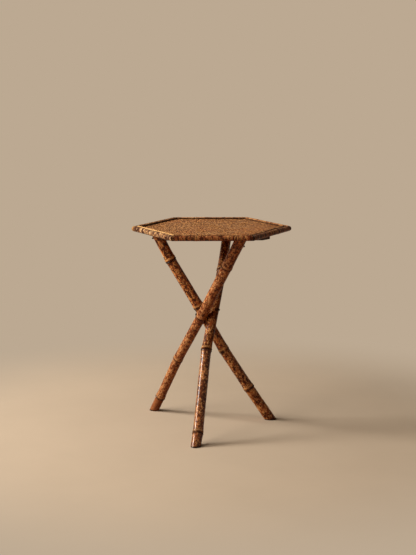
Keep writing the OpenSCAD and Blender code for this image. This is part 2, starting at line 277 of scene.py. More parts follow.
def makeSawnGrain():
    # softwood: growth rings cut along the board, with pores and saw marks
    tree, given, out = startGroup("sawnGrain", ("ring", "grime"), ("early", "late", "stain"),
                                  {"Color": "Color", "Height": "Float"})
    x, y, z = split(given["place"])
    slow = combine(x, (y, 0.09), z)
    sway = noise(slow, 14.0, 2.0)
    across = calc("DIVIDE", plus(x, times(sway, 0.05)), given["ring"])
    ring = calc("FRACT", plus(across, times(z, 30.0)))
    late = times(between(ring, 0.35, 0.9), between(ring, 1.0, 0.93))
    pores = combine((x, 900.0), (y, 18.0), (z, 900.0))
    fine = noise(pores, 1.0, 3.0, 0.6)
    grime = between(noise(given["place"], 16.0, 4.0, 0.65), 0.42, 0.72)
    colour = paint(given["early"],
                   (late, given["late"]),
                   (between(fine, 0.5, 0.8), given["late"], 0.5),
                   (grime, given["stain"], given["grime"]))
    saw = noise(combine((x, 6.0), (y, 420.0), 0.0), 1.0, 1.0)
    relief = plus(times(late, 0.5), times(saw, 0.4))
    feedAll(out, {"Color": colour, "Height": plus(fine, relief)})
    return tree


burntMottle = makeBurntMottle()
fibres = makeFibres()
jointMarks = makeJointMarks()
varnish = makeVarnish()
sawnGrain = makeSawnGrain()
print("shader groups made")


# materials

def makeCaneMaterial(name, look):
    material, tree, shader = startMaterial(name)
    place = attribute(tree, "stem")
    mottle = useGroup(burntMottle, place, look)
    grain = useGroup(fibres, place, look)
    marks = useGroup(jointMarks, place, look, fromJoint=number(tree, "fromJoint"),
                     jointDark=number(tree, "jointDark"))
    streak = between(grain["Streak"], 0.35, 0.7)
    # a worn length has lost most of its scorching
    plain = mixColour(times(streak, 0.6), look["plain"], look["brown"])
    # the ends darken: scorching, and on the poles also painted contact shadow at the feet and painted shade
    # under the boards
    reach = plus(number(tree, "fromEnd"), times(grain["Streak"], 0.003))
    scorchAndShadeAtEnd = between(reach, look["endScorchAndShade"] + 0.0025, 0.002)
    # painted shade, with some dirt: dark streaks at the pole ends, in the rim's seam, on the front rims'
    # crown and at the bead's foot
    seam = times(number(tree, "grime"), between(grain["Streak"], 0.2, 0.6, 0.55, 0.95))
    colour = paint(mottle["Color"],
                   (number(tree, "worn"), plain),
                   (streak, look["brown"], look["streaks"]),
                   (marks["PaleAndHighlight"], look["gold"], look["paleAndHighlightPart"]),
                   (marks["Soot"], look["char"], 0.8),
                   (marks["Line"], look["sooty"]),
                   (scorchAndShadeAtEnd, look["sooty"], look["endDark"]),
                   (seam, look["sooty"]))
    finish = useGroup(varnish, place, look, wear=calc("MAXIMUM", marks["Line"], seam))
    scar = plus(times(marks["Line"], 0.9), times(scorchAndShadeAtEnd, 0.5))
    coat = between(scar, 0.0, 1.0, look["coat"], 0.05)
    bright = minus(1.0, number(tree, "dull"))
    feedAll(shader, {
        "Base Color": colour, "Roughness": finish["Roughness"],
        "Normal": bumps((grain["Height"], 0.00012, 0.5), (mottle["Height"], 0.0004, 0.3),
                        (finish["Height"], 0.0004, 0.2), (marks["Line"], 0.0005, 0.5)),
        "Coat Weight": times(coat, bright), "Coat Roughness": look["coatRough"],
        "Specular IOR Level": look["shine"]})
    return material


caneLook = {
    "sooty": tone(26, 14, 9), "fibreLength": 0.06, "paleAndHighlightPart": 0.3, "endDark": 0.5,
    "smooth": 0.4, "dull": 0.62, "shine": 0.05, "coat": 0.08,
}
poleLook = {
    **caneLook,
    "aroundStretch": 0.8, "curls": 1.0, "gold": tone(236, 178, 108), "tan": tone(176, 102, 52),
    "brown": tone(118, 56, 24), "char": tone(60, 25, 8), "plain": tone(142, 89, 54),
    "fibre": 0.0012, "streaks": 0.3, "jointLine": 0.0021, "soot": 0.0085,
    # the poles' dark ends: scorching, and painted contact shadow at the feet
    "endScorchAndShade": 0.0065, "endDark": 0.85, "shine": 0.04, "coatRough": 0.1,
}
rimLook = {
    **caneLook,
    "blotch": 0.0042, "aroundStretch": 3.2, "curls": 0.7, "gold": tone(214, 160, 98),
    "tan": tone(168, 100, 56), "brown": tone(108, 54, 32), "char": tone(56, 24, 10),
    "plain": tone(200, 148, 88), "fibre": 0.0011, "streaks": 0.25, "jointLine": 0.001, "soot": 0.004,
    "endScorchAndShade": 0.006, "coatRough": 0.16,
}
beadLook = {
    **caneLook,
    "blotch": 0.012, "aroundStretch": 1.5, "curls": 0.2, "gold": tone(210, 162, 104),
    "tan": tone(178, 120, 70), "brown": tone(114, 66, 34), "char": tone(60, 30, 13),
    "plain": tone(170, 116, 70), "sooty": tone(30, 17, 11), "fibre": 0.0008, "streaks": 0.4,
    "jointLine": 0.0008, "soot": 0.003, "paleAndHighlightPart": 0.2, "endScorchAndShade": 0.003,
    "smooth": 0.45, "dull": 0.65, "coatRough": 0.2,
}


def makeCutMaterial():
    # sawn ends and the hollow inside a pole: pale wall with dark pores, dirty towards the floor
    look = {"pale": tone(196, 158, 104), "deep": tone(118, 82, 46), "dirt": tone(62, 44, 30),
            "fibre": 0.0009, "fibreLength": 0.05}
    material, tree, shader = startMaterial("cut_bamboo")
    place = attribute(tree, "stem")
    grain = useGroup(fibres, place, look)
    pores = between(cells(place, 1500.0), 0.35, 0.1)
    dirt = between(noise(place, 120.0, 3.0, 0.6), 0.4, 0.65)
    colour = paint(look["pale"],
                   (between(grain["Streak"], 0.35, 0.65), look["deep"]),
                   (pores, look["dirt"], 0.6),
                   (dirt, look["dirt"], 0.6))
    feedAll(shader, {
        "Base Color": colour, "Roughness": between(grain["Streak"], 0.2, 0.8, 0.65, 0.9),
        "Normal": bumps((grain["Height"], 0.0003, 0.7))})
    return material


cutMaterial = makeCutMaterial()


def makeMattingMaterial():
    look = {"straw": tone(210, 152, 94), "brown": tone(164, 106, 59), "dark": tone(98, 56, 29),
            "gap": tone(58, 30, 14), "red": tone(166, 90, 44), "smooth": 0.42, "dull": 0.7, "shine": 0.08}
    material, tree, shader = startMaterial("woven_grass")
    place = attribute(tree, "stem")
    x, y, _ = split(place)
    u, v, _ = split(attribute(tree, "weave"))
    column, row = calc("FLOOR", u), calc("FLOOR", v)
    inU, inV = calc("FRACT", u), calc("FRACT", v)
    odd = calc("FLOORED_MODULO", plus(column, row), 2.0)     # 1 where the warp lies on top
    # each strand has a tone of its own, which changes slowly along it
    acrossV = noise(combine((u, 0.07), (row, 7.3), 3.0), 1.0, 2.0)
    acrossU = noise(combine((column, 7.7), (v, 0.07), 9.0), 1.0, 2.0)
    own = mixValue(odd, acrossV, acrossU)
    # fibres run along whichever strand is on top
    lengthU = noise(combine((u, 0.6), (v, 9.0), 0.0), 1.0, 3.0, 0.6)
    lengthV = noise(combine((u, 9.0), (v, 0.6), 5.0), 1.0, 3.0, 0.6)
    fibre = mixValue(odd, lengthU, lengthV)

    def hump(t):        # 0 at a strand's edges, 1 along its middle
        return calc("SINE", times(t, math.pi))
    humpU, humpV = hump(inU), hump(inV)
    across = mixValue(odd, humpV, humpU)
    along = mixValue(odd, humpU, humpV)
    height = plus(calc("POWER", across, 0.6), times(along, 0.55))
    gap = times(between(across, 0.45, 0.1), 0.75)
    gap = plus(gap, times(between(along, 0.35, 0.0), 0.3), clamp=True)
    wide = noise(place, 9.0, 3.0, 0.6)
    flecks = between(noise(place, 420.0, 3.0, 0.7), 0.6, 0.74)
    dashes = noise(combine((x, 140.0), (y, 60.0), 0.0), 1.0, 2.0, 0.6)
    endways = calc("ABSOLUTE", x)
    colour = paint(look["dark"],
                   (between(own, 0.36, 0.66), look["straw"]),
                   (between(fibre, 0.4, 0.7), look["brown"]),
                   (between(wide, 0.45, 0.7), look["red"], 0.45),
                   (flecks, look["dark"], 0.5),
                   (between(dashes, 0.52, 0.62), look["dark"], 0.66),
                   (between(dashes, 0.48, 0.38), look["straw"], 0.62),
                   # lighter along the front: painted sheen and wear from handling; darker towards the two
                   # end corners: painted shade from the beads and grime
                   (between(y, -0.1, -0.2), look["straw"], 0.3),
                   (between(endways, 0.12, 0.23), look["dark"], 0.35),
                   (gap, look["gap"]))
    finish = useGroup(varnish, place, look, wear=times(gap, 0.4))
    feedAll(shader, {
        "Base Color": colour, "Roughness": finish["Roughness"], "Specular IOR Level": look["shine"],
        "Normal": bumps((height, 0.0005, 0.7), (fibre, 0.0003, 0.5))})
    return material


mattingMaterial = makeMattingMaterial()


def makeWoodMaterial(name, look):
    material, tree, shader = startMaterial(name)
    x, y, z = split(addNode("TexCoord", tree=tree)["Object"])
    if look["across"]:
        x, y = y, x
    place = combine(plus(x, look["shift"]), y, z)
    wood = useGroup(sawnGrain, place, look)
    finish = useGroup(varnish, place, look)
    feedAll(shader, {
        "Base Color": wood["Color"], "Roughness": finish["Roughness"], "Specular IOR Level": look["shine"],
        "Normal": bumps((wood["Height"], 0.0004, 0.6))})
    return material


def dress(node, material):
    nodes[node].data.materials.clear()
    nodes[node].data.materials.append(material)


dealLook = {"across": False, "rings": (0.0085, 0.0065, 0.0075), "shiftStep": 0.31,
            "early": tone(188, 148, 98), "late": tone(150, 104, 60), "stain": tone(104, 72, 44),
            "grime": 0.5, "smooth": 0.6, "dull": 0.85, "shine": 0.3}
for k, board in enumerate(("board_left", "board_middle", "board_right")):
    look = dict(dealLook, shift=dealLook["shiftStep"] * k, ring=dealLook["rings"][k])
    dress(board, makeWoodMaterial("deal_" + board, look))
battenLook = {"across": True, "shift": 0.12, "ring": 0.005,
              "early": tone(84, 46, 24), "late": tone(54, 28, 13), "stain": tone(30, 16, 8),
              "grime": 0.6, "smooth": 0.4, "dull": 0.65, "shine": 0.1}
battenMaterial = makeWoodMaterial("stained_batten", battenLook)
for batten in ("batten_front", "batten_back"):
    dress(batten, battenMaterial)


def makeIronMaterial():
    look = {"black": tone(27, 23, 20), "rust": tone(78, 44, 26)}
    material, tree, shader = startMaterial("black_iron")
    place = addNode("TexCoord", tree=tree)["Object"]
    rust = between(noise(place, 700.0, 4.0, 0.65), 0.52, 0.68)
    feedAll(shader, {
        "Base Color": mixColour(times(rust, 0.7), look["black"], look["rust"]),
        "Metallic": between(rust, 0.0, 1.0, 0.7, 0.2),
        "Roughness": between(rust, 0.0, 1.0, 0.5, 0.8),
        "Normal": bumps((noise(place, 1400.0, 2.0), 0.0002, 0.5))})
    return material


ironMaterial = makeIronMaterial()
for fastener in ("batten_screws", "rim_pins", "bead_pins"):
    dress(fastener, ironMaterial)
print("materials made")


# pieces built as meshes

def putIn(name, data):
    # an object of this name in the scene
    made = bpy.data.objects.new(name, data)
    bpy.context.scene.collection.objects.link(made)
    return made


def makeObject(name, points, faces, materials, values=None, sharp=50.0):
    # values: for each attribute, one number or one vector a point
    mesh = bpy.data.meshes.new(name)
    mesh.from_pydata([tuple(p) for p in points], [], faces)
    for label, data in (values or {}).items():
        data = np.asarray(data, np.float32)
        kind, field = ("FLOAT", "value") if data.ndim == 1 else ("FLOAT_VECTOR", "vector")
        layer = mesh.attributes.new(label, kind, "POINT")
        layer.data.foreach_set(field, data.ravel())
    mesh.polygons.foreach_set("use_smooth", [True] * len(mesh.polygons))
    mesh.update()
    mesh.set_sharp_from_angle(angle=math.radians(sharp))
    for material in materials:
        mesh.materials.append(material)
    return putIn(name, mesh)


def addRow(skin, place, **values):
    # a row of points, with what the material reads there: one number goes for the whole row
    skin.setdefault("place", []).append(place)
    for label, value in values.items():
        skin.setdefault(label, []).append(value if np.ndim(value) else np.full(len(place), value))


def makeSkin(name, skin, faces, materials, sharp=50.0):
    values = {label: np.concatenate(rows) for label, rows in skin.items()}
    return makeObject(name, values.pop("place"), faces, materials, values, sharp)


def setSlots(made, faces, second):
    # which faces show the second material
    slots = np.zeros(len(faces), np.int32)
    slots[second] = 1
    made.data.polygons.foreach_set("material_index", slots)


def ease(t):
    t = max(0.0, t)
    return t * t * (3 - 2 * t)


def rowsOver(low, high, step, joints, reach, fine):
    # rows at an even step, and closer together over each joint
    rows = [s for s in np.arange(low, high, step) if np.abs(joints - s).min() > reach]
    for joint in joints:
        rows += list(joint + np.arange(-reach, reach + 1e-5, fine))
    return rows


def ringFaces(rows, around):
    # the skin over rows of points round a stem, closed at both ends
    faces = []
    for i in range(rows - 1):
        a, b = i * around, (i + 1) * around
        for j in range(around):
            k = (j + 1) % around
            faces.append((a + j, a + k, b + k, b + j))
    faces.append(tuple(range(around - 1, -1, -1)))
    faces.append(tuple((rows - 1) * around + j for j in range(around)))
    return faces


def wobble(seed):
    # a slow irregular wave in two variables, the same each run
    rng = random.Random(seed)
    parts = [(rng.uniform(0.6, 1.6), rng.uniform(0, 6.3), rng.randint(0, 3), rng.uniform(0, 6.3))
             for _ in range(5)]

    def value(s, turn, scale):
        total = 0.0
        for speed, phase, lobes, lobePhase in parts:
            total = total + np.sin(s / scale * speed + phase) * np.cos(lobes * turn + lobePhase)
        return total / len(parts)
    return value


# the skin over a stem near a joint: height, distance above the joint and width of each wave in it
jointWaves = ((0.90, -0.0004, 0.0013), (-0.35, 0.0021, 0.0008), (0.80, 0.0052, 0.0036),
              (0.30, 0.0120, 0.0090), (0.25, -0.0035, 0.0035))


def jointShape(d, rise):
    return rise * sum(tall * np.exp(-((d - above) / wide) ** 2) for tall, above, wide in jointWaves)


poles = {
    # joints: height, crook to the right, how dark the ring is
    # dull: what each length between joints has lost of its shine, from the foot up
    "leg_left": {
        "foot": (-0.17857, 0.15545), "top": (0.08306, -0.15234), "footWide": 0.0276, "topWide": 0.0324,
        "joints": ((0.04978, -0.0013, 0.6), (0.18797, -0.0067, 0.35), (0.33399, -0.0012, 0.6),
                   (0.49998, 0.0000, 0.45)),
        "seed": 4, "plainStub": 0.8, "burn": 0.6, "blotch": 0.0068,
        "coat": 0.24, "dull": (0.5, 0.0, 0.0, 0.0, 0.0),
        "tones": {"gold": tone(214, 161, 104), "tan": tone(163, 97, 54), "char": tone(80, 38, 16)}},
    "leg_front": {
        "foot": (-0.04933, -0.24071), "top": (0.05650, 0.16929), "footWide": 0.0300, "topWide": 0.0288,
        "joints": ((0.03200, 0.0004, 0.7), (0.24451, -0.0112, 0.85), (0.45927, -0.0005, 0.5)),
        "seed": 11, "plainStub": 0.1, "burn": 0.72, "blotch": 0.0068,
        "coat": 0.42, "dull": (0.0, 0.0, 0.85, 0.5),
        "tones": {"gold": tone(224, 170, 106), "tan": tone(166, 98, 52)}},
    "leg_right": {
        "foot": (0.18290, 0.04560), "top": (-0.16499, -0.01239), "footWide": 0.0312, "topWide": 0.0310,
        "joints": ((0.10199, -0.0074, 0.7), (0.22436, -0.0128, 0.4), (0.36100, -0.0087, 0.9),
                   (0.50602, -0.0078, 1.0)),
        "seed": 23, "plainStub": 0.0, "burn": 0.58, "blotch": 0.0096,
        "coat": 0.24, "dull": (0.3, 0.0, 0.0, 0.0, 0.0), "tones": {}},
}
poleShape = {
    "around": 80, "wall": 0.0046, "edge": 0.0005, "wave": 0.00022, "waveLength": 0.05,
    "waist": 0.00022, "waistUp": 0.09, "markShift": 0.173,
    # rows: the usual step, the reach and the step over a joint, and how near the rounded ends they come
    "step": 0.004, "jointReach": 0.011, "jointStep": 0.0006,
    "firstRow": 0.003, "lastRow": 0.002, "clearOfEnds": 0.0015, "footEdge": 0.0003, "topEdge": 0.0006,
    # the sawn ends are level, so the rows tilt towards them over this length
    "cutBlend": 0.022,
    # millimetres over which the kinks are smoothed, then metres that the line runs past its ends
    "smooth": 9, "smoothReach": 24, "linePast": 0.06, "axisReach": 0.003,
    # joints: ring, lean of the ring, bud above it and furrow above the bud
    "rise": 0.0020, "ringLean": 0.0006, "ringReach": 0.03,
    "bud": 0.0007, "budWide": 0.22, "budFrom": -0.002, "budUp": 0.0075, "budReach": 0.0045,
    "furrow": 0.0004, "furrowWide": 0.30, "furrowFrom": 0.01, "furrowTo": 0.05, "furrowReach": 0.12,
    # the hollow foot ends at a wall just below the first joint, with a hole through it
    "septumBelow": 0.002, "septumHole": 0.35, "septumSlope": 0.002,
    "hollowFrom": 0.006, "hollowTo": 0.004, "hollowStep": 0.008,
    # where the bare stub of a foot meets the mottled skin, and how far painted shade climbs from each end:
    # contact shadow at the foot, shade under the boards at the top
    "stubAbove": 0.002, "stubFade": 0.004, "footShadowReach": 0.007, "topShadeReach": 0.006,
}


def poleLine(pole):
    foot, top = Vector((*pole["foot"], 0.0)), Vector((*pole["top"], boardLow))
    points = [foot]
    for height, crook, _ in pole["joints"]:
        on = foot.lerp(top, height / boardLow)
        points.append(on + Vector((crook, 0, 0)))
    points.append(top)
    return [p + middle for p in points]


def poleRadius(pole, share):
    return (pole["footWide"] * (1 - share) + pole["topWide"] * share) / 2


def smoothedLine(points, lengths):
    # one point a millimetre along the kinked line and a little past its ends, then lightly smoothed
    total = lengths[-1]
    fine = np.arange(-poleShape["linePast"], total + poleShape["linePast"], 0.001)
    line = np.stack([np.interp(fine, lengths, points[:, k]) for k in range(3)], 1)
    before = points[1] - points[0]
    after = points[-1] - points[-2]
    line[fine < 0] = points[0] + np.outer(fine[fine < 0], before / np.linalg.norm(before))
    line[fine > total] = points[-1] + np.outer(fine[fine > total] - total, after / np.linalg.norm(after))
    reach = poleShape["smoothReach"]
    kernel = np.exp(-(np.arange(-reach, reach + 1) / poleShape["smooth"]) ** 2)
    kernel /= kernel.sum()
    padded = np.concatenate([line[0] + (line[1] - line[0]) * np.arange(-reach, 0)[:, None], line,
                             line[-1] + (line[-1] - line[-2]) * np.arange(1, reach + 1)[:, None]])
    return fine, np.stack([np.convolve(padded[:, k], kernel, "valid") for k in range(3)], 1)


def jointRelief(turn, joint, above, budTurn, dark):
    # what one joint adds to the radius at a distance above it: its ring, its bud and its furrow
    shape = poleShape
    relief = np.zeros(len(turn))
    if abs(above) < shape["ringReach"]:
        lean = shape["ringLean"] * np.cos(turn - budTurn)
        rise = shape["rise"] * (0.5 + 0.6 * dark) * (0.92 + 0.08 * np.cos(2 * turn + joint * 50))
        relief = relief + jointShape(above + lean, rise)
    if shape["budFrom"] < above < shape["furrowReach"]:
        away = np.angle(np.exp(1j * (turn - budTurn)))
        up = max(0, above)
        bud = np.exp(-(away / shape["budWide"]) ** 2 - ((above - shape["budUp"]) / shape["budReach"]) ** 2)
        furrow = np.exp(-(away / shape["furrowWide"]) ** 2) * (1 - math.exp(-up / shape["furrowFrom"])) \
            * math.exp(-up / shape["furrowTo"])
        relief = relief + shape["bud"] * bud - shape["furrow"] * furrow
    return relief


def makePole(name, pole):
    shape = poleShape
    points = np.array([tuple(p) for p in poleLine(pole)])
    lengths = np.concatenate([[0.0], np.cumsum(np.linalg.norm(np.diff(points, axis=0), axis=1))])
    total, joints = lengths[-1], lengths[1:-1]
    fine, line = smoothedLine(points, lengths)

    # rows of the outside with its two sawn edges, and of the hollow foot up to its septum
    steps = rowsOver(shape["firstRow"], total - shape["lastRow"], shape["step"], joints,
                     shape["jointReach"], shape["jointStep"])
    steps = sorted(s for s in steps if shape["clearOfEnds"] < s < total - shape["clearOfEnds"])
    outer = [0.0, shape["footEdge"]] + steps + [total - shape["topEdge"], total]
    septum = joints[0] - shape["septumBelow"]
    hollow = np.arange(septum - shape["hollowFrom"], shape["hollowTo"], -shape["hollowStep"])
    inner = [septum, septum - shape["septumSlope"], *hollow, 0.0]
    rows = [("in", s) for s in inner] + [("out", s) for s in outer]

    turn = np.linspace(0, 2 * math.pi, shape["around"], endpoint=False)
    wave = wobble(pole["seed"])
    rng = random.Random(pole["seed"])
    budTurns = [rng.uniform(0, 2 * math.pi)]
    for _ in joints[1:]:
        budTurns.append(budTurns[-1] + math.pi + rng.uniform(-0.15, 0.15))
    mark = pole["seed"] * shape["markShift"]     # so that no two poles have the same mottling
    skin = {}
    for kind, s in rows:
        centre, ahead, behind = [np.array([np.interp(t, fine, line[:, k]) for k in range(3)])
                                 for t in (s, s + shape["axisReach"], s - shape["axisReach"])]
        axis = (ahead - behind) / np.linalg.norm(ahead - behind)
        sideways = np.array([1.0, 0, 0]) - axis[0] * axis
        sideways /= np.linalg.norm(sideways)
        other = np.cross(axis, sideways)
        nearest = int(np.abs(joints - s).argmin())
        r = np.full(len(turn), poleRadius(pole, s / total))
        if kind == "out":
            fromNearest = min(1.0, abs(s - joints[nearest]) / shape["waistUp"])
            r = r + shape["wave"] * wave(s, turn, shape["waveLength"])
            r = r - shape["waist"] * math.sin(math.pi * fromNearest)
            for joint, budTurn, (_, _, dark) in zip(joints, budTurns, pole["joints"]):
                r = r + jointRelief(turn, joint, s - joint, budTurn, dark)
            if s < 1e-6 or s > total - 1e-6:
                r = r - shape["edge"]
        else:
            r = r - shape["wall"]
            if s == septum:
                r = r * shape["septumHole"]
        offset = r[:, None] * (np.cos(turn)[:, None] * sideways + np.sin(turn)[:, None] * other)
        bend = ease(1 - s / shape["cutBlend"]) + ease(1 - (total - s) / shape["cutBlend"])
        along = -offset[:, 2] / axis[2] * bend
        bare = min(1.0, max(0.0, (joints[0] + shape["stubAbove"] - s) / shape["stubFade"]))
        addRow(skin, centre + offset + along[:, None] * axis,
               stem=np.stack([r * np.cos(turn) + mark, r * np.sin(turn), s + along], 1),
               fromJoint=s + along - joints[nearest],
               jointDark=pole["joints"][nearest][2],
               fromEnd=min(s, total - s),
               worn=pole["plainStub"] * bare,
               # painted contact shadow at the foot and painted shade under the boards at the top
               grime=max(0.0, 1 - s / shape["footShadowReach"], 1 - (total - s) / shape["topShadeReach"]),
               dull=pole["dull"][int((joints < s).sum())])
    faces = ringFaces(len(rows), shape["around"])
    material = makeCaneMaterial("mottled_" + name, dict(poleLook, burn=pole["burn"], blotch=pole["blotch"],
                                                        coat=pole["coat"], **pole["tones"]))
    made = makeSkin(name + "_bamboo", skin, faces, [material, cutMaterial], 40.0)
    # the hollow and the sawn face round the septum's hole are cut bamboo
    cutFaces = list(range(len(inner) * shape["around"])) + [len(faces) - 2]
    setSlots(made, faces, cutFaces)
    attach(made, "root")
    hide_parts(name)


for name, pole in poles.items():
    makePole(name, pole)
print("poles made")


# nails: the heads stand off the crooked poles, so they are set from the poles' own lines
nails = {
    "shank": 0.0032, "head": 0.0074, "thick": 0.0028, "proud": 0.0018, "around": 24, "tipIn": 0.002,
    # the head from its top down: shares of its thickness and of its radius
    "dome": ((1, 0.35), (0.86, 0.72), (0.5, 0.95), (0.15, 1), (0, 0.94)),
    # the point: distance from the tip and share of the shank's radius
    "point": ((0.005, 1), (0.002, 0.6), (0, 0.12)),
    # at the crossing: pole and height of the head's end, pole and height of the point's end
    "crossing": (("leg_left", 0.3385, "leg_front", 0.3262), ("leg_front", 0.3490, "leg_right", 0.3365),
                 ("leg_right", 0.3380, "leg_left", 0.3280)),
    # at the tops: pole, direction that the head faces, drop below the boards
    "tops": (("leg_left", 0, 0.0220), ("leg_left", 120, 0.022), ("leg_front", 45, 0.022),
             ("leg_front", 130, 0.022), ("leg_right", 180, 0.0165), ("leg_right", 60, 0.022)),
    "proudAtTop": 0.0024, "topIn": 0.0074, "intoBoard": 0.009,
}


def onPole(name, height):
    # the point of a pole's line at a height, its direction there and its radius
    line = poleLine(poles[name])
    for low, high in zip(line, line[1:]):
        if height <= high.z or high is line[-1]:
            point = low.lerp(high, (height - low.z) / (high.z - low.z))
            return point, (high - low).normalized(), poleRadius(poles[name], height / boardLow)


def addNail(points, faces, start, direction, length):
    # start is where the shank leaves the head
    half = nails["shank"] / 2
    profile = [(-nails["thick"] * up, nails["head"] / 2 * out) for up, out in nails["dome"]]
    profile += [(0.0, half), (0.001, half)] + [(length - back, half * out) for back, out in nails["point"]]
    sideways = direction.orthogonal().normalized()
    other = direction.cross(sideways)
    first = len(points)
    for along, r in profile:
        for k in range(nails["around"]):
            a = 2 * math.pi * k / nails["around"]
            uneven = 1 + 0.03 * math.cos(2 * a + first)
            out = sideways * math.cos(a) + other * math.sin(a)
            points.append(start + direction * along + out * r * uneven)
    faces += [tuple(first + i for i in face) for face in ringFaces(len(profile), nails["around"])]


def makeNails():
    points, faces = [], []
    for name, height, second, secondHeight in nails["crossing"]:
        near, axis, radius = onPole(name, height)
        far, farAxis, farRadius = onPole(second, secondHeight)
        direction = (far - near).normalized()
        skin = radius / math.sqrt(1 - direction.dot(axis) ** 2)
        farSkin = farRadius / math.sqrt(1 - direction.dot(farAxis) ** 2)
        start = near - direction * (skin + nails["proud"])
        addNail(points, faces, start, direction, (far - start).length + farSkin - nails["tipIn"])
    crossing = makeObject("crossing_long_nails", points, faces, [ironMaterial], sharp=40.0)
    points, faces = [], []
    for name, turn, drop in nails["tops"]:
        near, axis, radius = onPole(name, boardLow - drop)
        top = onPole(name, boardLow)[0]
        out = Vector((math.cos(math.radians(turn)), math.sin(math.radians(turn)), 0.0))
        start = near + out * radius / out.cross(axis).length
        direction = (top + out * (radius - nails["topIn"]) - start).normalized()
        start = start - direction * nails["proudAtTop"]
        addNail(points, faces, start, direction, (drop + nails["intoBoard"]) / direction.z)
    tops = makeObject("pole_top_nails", points, faces, [ironMaterial], sharp=40.0)
    for made, node in ((crossing, "crossing_nails"), (tops, "top_nails")):
        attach(made, "root")
        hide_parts(node)


makeNails()
print("nails made")


# sides of the top: rim canes and beads lie along six sides, mitred at the corners

def alongSide(turn, out, side, height):
    # a point from its distance square to a side, its distance along it and its height
    a = math.radians(turn)
    return np.stack([middle.x + out * math.cos(a) - side * math.sin(a),
                     middle.y + out * math.sin(a) + side * math.cos(a), height], -1)


def sideRows(half, joints, shape, ends):
    # where along a side its rows lie, with the two ends and whatever else must have a row
    step = half / shape["steps"]
    rows = rowsOver(-half, half + 1e-6, step, joints, shape["jointReach"], shape["jointStep"])
    return sorted(set(rows) | set(ends))


def mitred(s, x, end, blend):
    # the rows lean towards a corner, so the last one lies in the mitre
    return s + math.copysign(1, s) * x * slant * ease(1 - end / blend)


rim = {
    "wide": 0.016, "flat": 0.0055, "height": 0.6002, "gap": 0.0008, "around": 48, "mitreBlend": 0.03,
    "seed": 31, "markShift": 0.011, "jointDark": 0.4,
    "steps": 40, "jointReach": 0.006, "jointStep": 0.0006,
    "rise": 0.0005, "wave": 0.00012, "waveLength": 0.03, "edge": 0.0005, "edgeOver": 0.0004,
    # joints: hundredths of half a side, from its middle
    "joints": {"front": (-44, 60), "front_right": (32,), "back_right": (-54, 49), "back": (8,),
               "back_left": (-37, 62), "front_left": (-10,)},
    # the canes come from different stems, some golden and some scorched nearly black
    "burn": {"front": 0.63, "front_right": 0.62, "back_right": 0.3, "back": 0.5, "back_left": 0.66,
             "front_left": 0.72},
    "contrast": {"front_left": {
        "gold": tone(244, 204, 146), "tan": tone(196, 144, 92), "brown": tone(80, 42, 30),
        "blotch": 0.0046, "aroundStretch": 4.0}},
    # painted shade: how strongly the seam beside the bead and the crown are darkened, and where across the
    # cane; on the crown it holds down the light from above
    "seam": {"back_right": 0.3, "back_left": 0.35}, "seamFrom": 0.0036, "seamOver": 0.0016,
    "crown": {"front": 0.7, "front_right": 0.3}, "crownFrom": 0.004, "crownOver": 0.006,
    # which end of a cane is rubbed bare at a corner, and how far in
    "rubbed": {"back_left": 1, "front_left": -1}, "rubReach": 0.012, "rubGain": 1.2, "rubMost": 0.85,
    "endDark": {"front": 0.95, "front_right": 0.3, "back_right": 0.4, "back": 0.6, "back_left": 0.6,
                "front_left": 0.0},
}
rim["out"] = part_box("rim_back")[1].y - middle.y - rim["rise"]


def makeRimCane(side, turn):
    radius = rim["wide"] / 2
    axisOut = rim["out"] - radius
    half = (axisOut - rim["gap"]) * slant
    joints = np.array(rim["joints"][side]) / 100 * (rim["out"] / flatShare / 2)
    wave = wobble(rim["seed"] + turn)
    edge = half - rim["edgeOver"]
    steps = sideRows(half, joints, rim, (-half, -edge, edge, half))
    angle = np.linspace(0, 2 * math.pi, rim["around"], endpoint=False)
    skin = {}
    for s in steps:
        nearest = joints[np.abs(joints - s).argmin()]
        end = half - abs(s)
        r = radius - rim["wave"] + rim["wave"] * wave(s, angle, rim["waveLength"])
        r = r + jointShape(s - nearest, rim["rise"]) - rim["edge"] * max(0.0, 1 - end / rim["edgeOver"])
        x = np.maximum(np.cos(angle) * r, -rim["flat"])
        z = np.sin(angle) * r
        along = mitred(s, x, end, rim["mitreBlend"])
        # painted shade on the crown of the front canes, against the light they catch from above
        crown = rim["crown"].get(side, 0.0) * np.clip((rim["crownFrom"] - x) / rim["crownOver"], 0.0, 1.0)
        # painted shade in the seam beside the bead
        seam = rim["seam"].get(side, 1.0) * np.clip((-x - rim["seamFrom"]) / rim["seamOver"], 0.0, 1.0)
        bare = 0.0
        if side in rim["rubbed"]:
            bare = max(0.0, 1 - (half - s * rim["rubbed"][side]) / rim["rubReach"])
        addRow(skin, alongSide(turn, axisOut + x, along, rim["height"] + z),
               stem=np.stack([x + turn * rim["markShift"], z, along], 1), fromJoint=along - nearest,
               jointDark=rim["jointDark"], fromEnd=end,
               worn=min(rim["rubMost"], rim["rubGain"] * bare), grime=np.maximum(seam, crown))
    faces = ringFaces(len(steps), rim["around"])
    look = dict(rimLook, burn=rim["burn"][side], endDark=rim["endDark"][side],
                **rim["contrast"].get(side, {}))
    material = makeCaneMaterial("mottled_rim_" + side, look)
    made = makeSkin("rim_" + side + "_cane", skin, faces, [material, cutMaterial])
    setSlots(made, faces, [-2, -1])
    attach(made, "root")
    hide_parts("rim_" + side)


